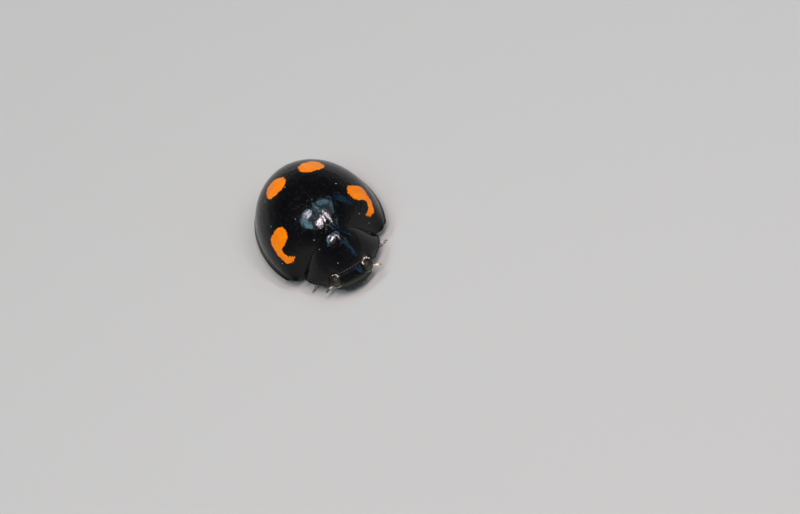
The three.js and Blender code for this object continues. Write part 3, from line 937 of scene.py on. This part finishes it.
def throat():
    """The body under the pronotum, with a shallow groove down the middle of its plate."""
    run, turn = np.meshgrid(np.linspace(0, 0.85, 30), np.linspace(-0.96, 0.96, 61), indexing="ij")
    top = arch_point(turn, run, inset=0.12)
    bottom = top.copy()
    bottom[..., 2] = BELLY_Z + 0.03 + 0.08 * turn**2 + 0.02 * ridge(turn, 0, 0.12)
    top[..., 2] = np.maximum(top[..., 2], bottom[..., 2] + 0.03)
    points, faces = shell_between(top, bottom)
    make_piece("throat_plate", points, faces, UNDER, ["prosternum"])


# ---- Bristles ----
# Real hairs are two or three thousandths of a millimetre thick, too fine to show. These are drawn three
# to four times as thick.
EYELID_TUFTS = dict(count=6, hairs=20, first=0.15, last=3.8, radius=0.0055)
FRINGE_TUFTS = dict(count=10, hairs=4, turn=0.33, radius=0.004)
FOOT_HAIRS = dict(on_shin=26, on_foot=44, radius=0.0045)
# Each hair is three-sided, with a ring at each of these shares of its length and a point at its end.
BRISTLE_RINGS = (0.0, 0.4, 0.75)
BAKE_PATCH = 0.003
# The pale row over the left eye, from its outer side over its top to its inner side.
EYELID = [(0.65, -1.79, 0.8), (0.58, -1.75, 0.885), (0.48, -1.765, 0.945), (0.415, -1.835, 0.955),
          (0.39, -1.92, 0.93)]


def bristles(name, roots, directions, lengths, radius, patches, droop=0.25, material=BRISTLE):
    """Many tapering, slightly bent bristles as one mesh, each baked from a tiny patch at its root."""
    roots, directions = np.asarray(roots, float), unit(directions)
    side = unit(np.cross(directions, [0.13, 0.21, 0.97]))
    other = np.cross(directions, side)
    count = len(roots)
    angle = np.array([0, 2, 4]) * np.pi / 3
    points = []
    for share in (*BRISTLE_RINGS, 1.0):
        middle = roots + directions * (lengths * share)[:, None]
        middle[:, 2] -= droop * lengths * share**2
        if share == 1.0:
            points.append(middle[:, None])
            continue
        ring = np.cos(angle)[None, :, None] * side[:, None] + np.sin(angle)[None, :, None] * other[:, None]
        points.append(middle[:, None] + ring * radius * (1 - 0.7 * share))
    points = np.concatenate(points, 1)
    per = points.shape[1]
    sides = grid_faces(len(BRISTLE_RINGS), 3, closed=True).tolist()
    tip, last = per - 1, per - 4
    point = [[last + i, last + (i + 1) % 3, tip] for i in range(3)]
    one = [*sides, *point, [2, 1, 0]]
    faces = [[k * per + i for i in face] for k in range(count) for face in one]
    piece = make_piece(name, points.reshape(-1, 3), faces, material, sharp=80)
    layer = piece.data.uv_layers.new(name="OFBake")
    corner = np.empty(len(piece.data.loops), int)
    piece.data.loops.foreach_get("vertex_index", corner)
    spread = BAKE_PATCH / 2 * np.stack([np.cos(np.arange(per) * 2.1), np.sin(np.arange(per) * 2.1)], 1)
    uv = np.clip(patches, 0.02, 0.98)[corner // per] + spread[corner % per]
    layer.data.foreach_set("uv", uv.ravel().astype("f"))


def eyelid_fringe():
    """A pale curved row of short hairs that hugs the top of each eye."""
    roots, directions, patches = [], [], []
    middles = np.linspace(EYELID_TUFTS["first"], EYELID_TUFTS["last"], EYELID_TUFTS["count"])
    tufts = np.repeat(middles, EYELID_TUFTS["hairs"])
    path = np.array(EYELID)
    for side in SIDES.values():
        share = np.clip(tufts + rng.normal(0, 0.13, len(tufts)), 0, len(EYELID) - 1.001)
        first = share.astype(int)
        place = path[first] + (path[first + 1] - path[first]) * (share - first)[:, None]
        place = place + rng.normal(0, 0.006, place.shape)
        roots.append(headed(place, side))
        down = headed(np.array([EYE["centre"]]) + (0.02, -0.14, 0.05), side) - roots[-1]
        directions.append(unit(down) + rng.normal(0, 0.18, place.shape))
        patches.append(np.stack([0.5 + 0.3 * side * share / 4, 0.9 + 0 * share], 1))
    roots, directions = np.concatenate(roots), np.concatenate(directions)
    lengths = rng.uniform(0.035, 0.06, len(roots))
    patches = np.concatenate(patches)
    bristles("eyelid_fringe", roots, directions, lengths, EYELID_TUFTS["radius"], patches, droop=0.1)


def pronotum_fringe():
    """A sparse row of small hair tufts along the pronotum's front margin."""
    middles = np.linspace(-FRINGE_TUFTS["turn"], FRINGE_TUFTS["turn"], FRINGE_TUFTS["count"])
    turns = np.repeat(middles, FRINGE_TUFTS["hairs"])
    turns = turns + rng.normal(0, 0.006, len(turns))
    roots = arch_point(turns, np.full(turns.shape, 0.985))
    directions = np.array([0, -0.8, 0.35]) + rng.normal(0, 0.2, roots.shape)
    lengths = rng.uniform(0.03, 0.055, len(turns))
    patches = np.stack([(turns + 1) / 2, 0.97 + 0 * turns], 1)
    radius = FRINGE_TUFTS["radius"]
    bristles("pronotum_fringe", roots, directions, lengths, radius, patches, material=GREY_BRISTLE)


def foot_hairs():
    """Pale hairs under the feet and along the ends of the shins."""
    roots, directions, patches = [], [], []
    for pair, side_name, (_, knee, ankle, toe) in standing_legs():
        shin_end = (knee + (ankle - knee) * 0.6, ankle, FOOT_HAIRS["on_shin"])
        foot_pads = (ankle, ankle + (toe - ankle) * 0.62, FOOT_HAIRS["on_foot"])
        patch_x = 0.1 + 0.15 * list(STANCE).index(pair)
        patch_y = 0.3 + 0.3 * (side_name == "left")
        for start, end, count in (shin_end, foot_pads):
            share = rng.uniform(0, 1, count)
            place = start + (end - start) * share[:, None]
            around = unit(rng.normal(0, 1, (count, 3)))
            way = unit(end - start)
            around = unit(around - (around @ way)[:, None] * way)
            place = place + around * 0.035
            place[:, 2] = np.maximum(place[:, 2], 0.03)
            roots.append(place)
            directions.append(0.7 * way + 0.6 * around * [1, 1, 0.5])
            patches.append(np.stack([patch_x + 0.1 * share, np.full(count, patch_y)], 1))
    roots, directions = np.concatenate(roots), np.concatenate(directions)
    lengths = rng.uniform(0.03, 0.055, len(roots))
    radius, patches = FOOT_HAIRS["radius"], np.concatenate(patches)
    bristles("foot_hairs", roots, directions, lengths, radius, patches, droop=0.1)


# ---- Floor, camera and light ----
VIEW = dict(
    elevation=math.radians(58.44),
    towards_left=math.radians(-12.76),
    roll=math.radians(19.86),
    pixels_per_mm=34.67,
    origin_px=(325.15, 237.85),
    distance=220.0,
)
FRAME_PX = (800, 514)
SENSOR_MM = 36
FLOOR_HALF_M = 0.6
LAMP_DISTANCE = 120.0
TEAL = "#A4DAF0"
WHITE = "#FFEFF4"
NAVY = "#4E9AD0"
# Each soft light: the directions it spans, its width, its glow in watts per m2 and sr, and its colour.
# Panes make the pale blue window on the dome, window lights its white bars, and strips the blue streaks.
SOFTBOXES = dict(
    overhead=((-0.6, -0.15, 0.8), (0.55, 0.05, 0.8), 60, 1.4, TEAL),
    pane_back=((0.16, 0.28, 0.94), (0.62, 0.14, 0.78), 11, 11, TEAL),
    pane_left=((0.64, 0.1, 0.78), (0.6, -0.2, 0.78), 8, 10, TEAL),
    pane_middle=((0.04, 0.16, 0.99), (0.28, -0.1, 0.96), 8, 10, TEAL),
    pane_right=((-0.1, 0.22, 0.97), (-0.52, -0.02, 0.86), 22, 9, TEAL),
    pane_front=((-0.54, -0.02, 0.85), (-0.58, -0.34, 0.74), 20, 15, TEAL),
    pane_low=((0.68, -0.39, 0.62), (0.67, -0.62, 0.46), 10, 6, TEAL),
    window_core=((0.15, -0.18, 0.97), (-0.33, -0.36, 0.87), 12, 80, WHITE),
    window_right=((-0.16, 0.14, 0.98), (-0.42, 0.02, 0.91), 7, 55, WHITE),
    window_left=((0.28, -0.04, 0.96), (0.47, -0.42, 0.77), 7, 65, WHITE),
    side_strip=((0.76, 0.22, 0.61), (0.97, -0.15, 0.2), 13, 3.6, NAVY),
    front_strip=((0.31, -0.42, 0.86), (0.61, -0.78, 0.12), 11, 8.0, NAVY),
)


def view_axes():
    """Unit vectors of the view's right and down, and from the beetle to the camera."""
    e, a, roll = VIEW["elevation"], VIEW["towards_left"], VIEW["roll"]
    back = np.array([math.sin(a) * math.cos(e), -math.cos(a) * math.cos(e), math.sin(e)])
    level = np.array([math.cos(a), math.sin(a), 0])
    down = -np.cross(back, level)
    right = math.cos(roll) * level + math.sin(roll) * down
    return right, math.cos(roll) * down - math.sin(roll) * level, back


def add_camera():
    """A distant camera with a long lens, aimed so that the beetle lies at its place in the frame."""
    right, down, back = view_axes()
    offset = (np.array(FRAME_PX) / 2 - VIEW["origin_px"]) / VIEW["pixels_per_mm"]
    aim = right * offset[0] + down * offset[1]
    camera_data = bpy.data.cameras.new("view")
    camera_data.sensor_width = SENSOR_MM
    camera_data.lens = SENSOR_MM * VIEW["distance"] / (FRAME_PX[0] / VIEW["pixels_per_mm"])
    camera_data.clip_start = 0.002
    camera_data.clip_end = 5
    camera_object = bpy.data.objects.new("view", camera_data)
    turn = Matrix([right, -down, back]).transposed().to_4x4()
    place = Vector((aim + back * VIEW["distance"]) * MM)
    camera_object.matrix_world = Matrix.Translation(place) @ turn
    bpy.context.scene.collection.objects.link(camera_object)
    bpy.context.scene.camera = camera_object


def add_softbox(name, first, last, width, glow, colour):
    """A soft light that spans from one direction, seen from the beetle, to another."""
    first, last = unit(first) * LAMP_DISTANCE, unit(last) * LAMP_DISTANCE
    middle = (first + last) / 2
    length = np.linalg.norm(last - first)
    data = bpy.data.lights.new(name, "AREA")
    data.shape = "RECTANGLE"
    data.size, data.size_y = length * MM, width * MM
    data.energy = glow * math.pi * length * width * MM**2
    data.color = linear(colour)[:3]
    lamp = bpy.data.objects.new(name, data)
    along, back = unit(last - first), unit(middle)
    back = unit(back - (back @ along) * along)
    turn = Matrix([along, np.cross(back, along), back]).transposed().to_4x4()
    lamp.matrix_world = Matrix.Translation(Vector(middle * MM)) @ turn
    bpy.context.scene.collection.objects.link(lamp)


def add_floor():
    """A sheet of matt pale grey card, which gives the eye a soft shadow and no gloss."""
    mesh = bpy.data.meshes.new("floor")
    half = FLOOR_HALF_M
    mesh.from_pydata([(-half, -half, 0), (half, -half, 0), (half, half, 0), (-half, half, 0)], [],
                     [(0, 1, 2, 3)])
    material, shader = new_material("matt_card", Roughness=0.9, IOR=1.4)
    shader.inputs["Base Color"].default_value = linear("#817E77")
    mesh.materials.append(material)
    floor = bpy.data.objects.new("floor", mesh)
    bpy.context.scene.collection.objects.link(floor)


def add_studio():
    """Pale surroundings, brighter towards the ground, and the soft lights."""
    bpy.context.scene.view_settings.view_transform = "Standard"
    world = bpy.data.worlds.new("studio")
    world.use_nodes = True
    direction = add_node(world, "ShaderNodeTexCoord").outputs["Generated"]
    upward = add_node(world, "ShaderNodeSeparateXYZ", {}, {"Vector": direction}).outputs["Z"]
    glow = add_node(
        world, "ShaderNodeMapRange", {"interpolation_type": "SMOOTHSTEP"},
        {"Value": upward, "From Min": -0.1, "From Max": 0.55, "To Min": 0.42, "To Max": 0.05},
    ).outputs["Result"]
    background = world.node_tree.nodes["Background"]
    background.inputs["Color"].default_value = linear("#E6EAEC")
    link(world, glow, background.inputs["Strength"])
    bpy.context.scene.world = world
    for name, lamp in SOFTBOXES.items():
        add_softbox(name, *lamp)


add_camera()
add_floor()
add_studio()
for side_name, side in SIDES.items():
    wing_case(side, side_name)
    eye(side, side_name)
    antenna(side, side_name)
    palp(side, side_name)
scutellum_plate()
pronotum_plate()
head_capsule()
mouthparts()
legs()
chest()
belly()
throat()
eyelid_fringe()
pronotum_fringe()
foot_hairs()
